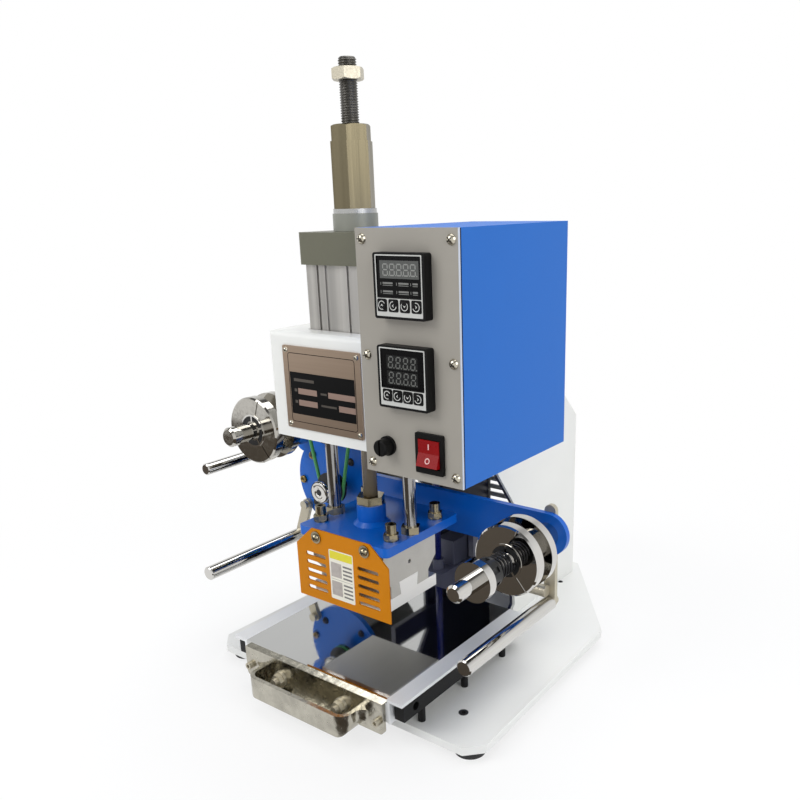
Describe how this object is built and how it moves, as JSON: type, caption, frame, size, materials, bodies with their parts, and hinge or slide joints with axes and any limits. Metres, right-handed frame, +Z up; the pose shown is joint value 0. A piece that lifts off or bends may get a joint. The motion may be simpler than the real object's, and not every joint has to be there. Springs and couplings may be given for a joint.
{
  "type": "pneumatic stamping press",
  "caption": "Bench stamping press: air cylinder drives a guided heated head onto a sliding table, with foil spools, belt drive and a control box",
  "frame": {"origin": "centre of the footprint, on the bench", "axes": "+Z up, +X to the operator's right, -Y towards the operator"},
  "size_m": [0.375, 0.434, 0.5751],
  "materials": {
    "white_paint": "fine powder coat",
    "steel_paint": "dark slate paint",
    "head_blue": "gloss blue paint",
    "box_blue": "semi-gloss blue paint",
    "panel_grey": "warm grey paint",
    "guard_orange": "orange paint",
    "name_metal": "brushed bronze tone",
    "steel": "ground steel",
    "polished": "polished chrome",
    "cap_metal": "grey-olive enamel",
    "tube_metal": "anodised aluminium",
    "champagne": "champagne plating",
    "nickel_cast": "nickel-plated casting",
    "heater_metal": "cast aluminium",
    "bronze": "turned bronze",
    "board": "insulation board",
    "black_plastic": "moulded plastic",
    "black_steel": "black oxide",
    "red_plastic": "moulded plastic",
    "rubber": "moulded rubber",
    "belt_green": "drive cord",
    "hose_navy": "air tube"
  },
  "bodies": {
    "frame": {"base_plate": "white_paint", "rubber_feet": "rubber", "frame_plates": "steel_paint", "side_panels": "white_paint", "rear_cover": "white_paint", "front_cover": "white_paint", "name_plate": "name_metal", "dome_screws": "steel", "bridge_plate": "steel_paint", "guide_bushes": "bronze", "end_caps": "cap_metal", "cylinder_tube": "tube_metal", "stop_sleeve": "champagne", "guide_bars": "black_steel", "support_plate": "head_blue", "arm_brackets": "head_blue", "foil_rods": "polished", "rod_links": "steel", "supply_spindle": "polished", "tension_spring": "black_steel", "takeup_bearing": "bronze", "drive_motor": "black_steel", "drive_belt": "belt_green", "box_shell": "box_blue", "front_panel": "panel_grey", "meters": "black_plastic", "fuse_holder": "black_plastic", "switch_bezel": "black_plastic", "air_valve": "tube_metal", "air_hose": "hose_navy"},
    "ram": {"piston": "tube_metal", "piston_rod": "steel", "head_plate": "head_blue", "guide_rods": "polished", "head_fasteners": "steel", "insulation_board": "board", "heater_block": "heater_metal", "heater_cartridges": "steel", "hot_plate": "heater_metal", "guard": "guard_orange"},
    "stroke_stop": {"stroke_nut": "steel"},
    "table": {"table_plate": "polished", "table_carriage": "tube_metal", "table_handle": "nickel_cast", "handle_screws": "steel"},
    "takeup": {"takeup_spindle": "polished", "takeup_discs": "polished"},
    "motor_wheel": {"motor_pulley": "black_steel"},
    "supply": {"supply_discs": "polished"},
    "knob": {"tension_knob": "black_plastic"},
    "cap": {"fuse_cap": "black_plastic"},
    "rocker": {"switch_rocker": "red_plastic"},
    "timer_key_1_cap": {"timer_key_1": "black_plastic"},
    "timer_key_2_cap": {"timer_key_2": "black_plastic"},
    "timer_key_3_cap": {"timer_key_3": "black_plastic"},
    "timer_key_4_cap": {"timer_key_4": "black_plastic"},
    "heat_key_1_cap": {"heat_key_1": "black_plastic"},
    "heat_key_2_cap": {"heat_key_2": "black_plastic"},
    "heat_key_3_cap": {"heat_key_3": "black_plastic"},
    "heat_key_4_cap": {"heat_key_4": "black_plastic"}
  },
  "joints": [
    {"name": "ram_slide", "type": "slide", "parent": "frame", "child": "ram", "axis": [0, 0, -1], "range_m": [0, 0.0337]},
    {"name": "stroke_nut_turn", "type": "hinge", "parent": "ram", "child": "stroke_stop", "pos_m": [0.00705, -0.098, 0.5623], "axis": [0, 0, 1], "continuous": true},
    {"name": "table_slide", "type": "slide", "parent": "frame", "child": "table", "axis": [0, -1, 0], "range_m": [0, 0.11]},
    {"name": "takeup_spin", "type": "hinge", "parent": "frame", "child": "takeup", "pos_m": [-0.10695, -0.098, 0.251], "axis": [0, 1, 0], "continuous": true},
    {"name": "motor_spin", "type": "hinge", "parent": "frame", "child": "motor_wheel", "pos_m": [-0.10695, -0.038, 0.162], "axis": [0, 1, 0], "continuous": true},
    {"name": "supply_spin", "type": "hinge", "parent": "frame", "child": "supply", "pos_m": [0.15445, -0.073, 0.1593], "axis": [0, 1, 0], "continuous": true},
    {"name": "knob_turn", "type": "hinge", "parent": "frame", "child": "knob", "pos_m": [0.15445, -0.123, 0.1593], "axis": [0, 1, 0], "continuous": true},
    {"name": "fuse_cap_turn", "type": "hinge", "parent": "frame", "child": "cap", "pos_m": [0.09605, -0.1777, 0.276], "axis": [0, 1, 0], "range_deg": [0, 90]},
    {"name": "rocker_tilt", "type": "hinge", "parent": "frame", "child": "rocker", "pos_m": [0.1388, -0.1706, 0.276], "axis": [1, 0, 0], "range_deg": [0, 20]},
    {"name": "timer_key_1_push", "type": "slide", "parent": "frame", "child": "timer_key_1_cap", "axis": [0, 1, 0], "range_m": [0, 0.0006], "stiffness_N_per_m": 400},
    {"name": "timer_key_2_push", "type": "slide", "parent": "frame", "child": "timer_key_2_cap", "axis": [0, 1, 0], "range_m": [0, 0.0006], "stiffness_N_per_m": 400},
    {"name": "timer_key_3_push", "type": "slide", "parent": "frame", "child": "timer_key_3_cap", "axis": [0, 1, 0], "range_m": [0, 0.0006], "stiffness_N_per_m": 400},
    {"name": "timer_key_4_push", "type": "slide", "parent": "frame", "child": "timer_key_4_cap", "axis": [0, 1, 0], "range_m": [0, 0.0006], "stiffness_N_per_m": 400},
    {"name": "heat_key_1_push", "type": "slide", "parent": "frame", "child": "heat_key_1_cap", "axis": [0, 1, 0], "range_m": [0, 0.0006], "stiffness_N_per_m": 400},
    {"name": "heat_key_2_push", "type": "slide", "parent": "frame", "child": "heat_key_2_cap", "axis": [0, 1, 0], "range_m": [0, 0.0006], "stiffness_N_per_m": 400},
    {"name": "heat_key_3_push", "type": "slide", "parent": "frame", "child": "heat_key_3_cap", "axis": [0, 1, 0], "range_m": [0, 0.0006], "stiffness_N_per_m": 400},
    {"name": "heat_key_4_push", "type": "slide", "parent": "frame", "child": "heat_key_4_cap", "axis": [0, 1, 0], "range_m": [0, 0.0006], "stiffness_N_per_m": 400}
  ],
  "couplings": [
    {"joint": "motor_spin", "follows": "takeup_spin", "ratio": 2.227}
  ]
}
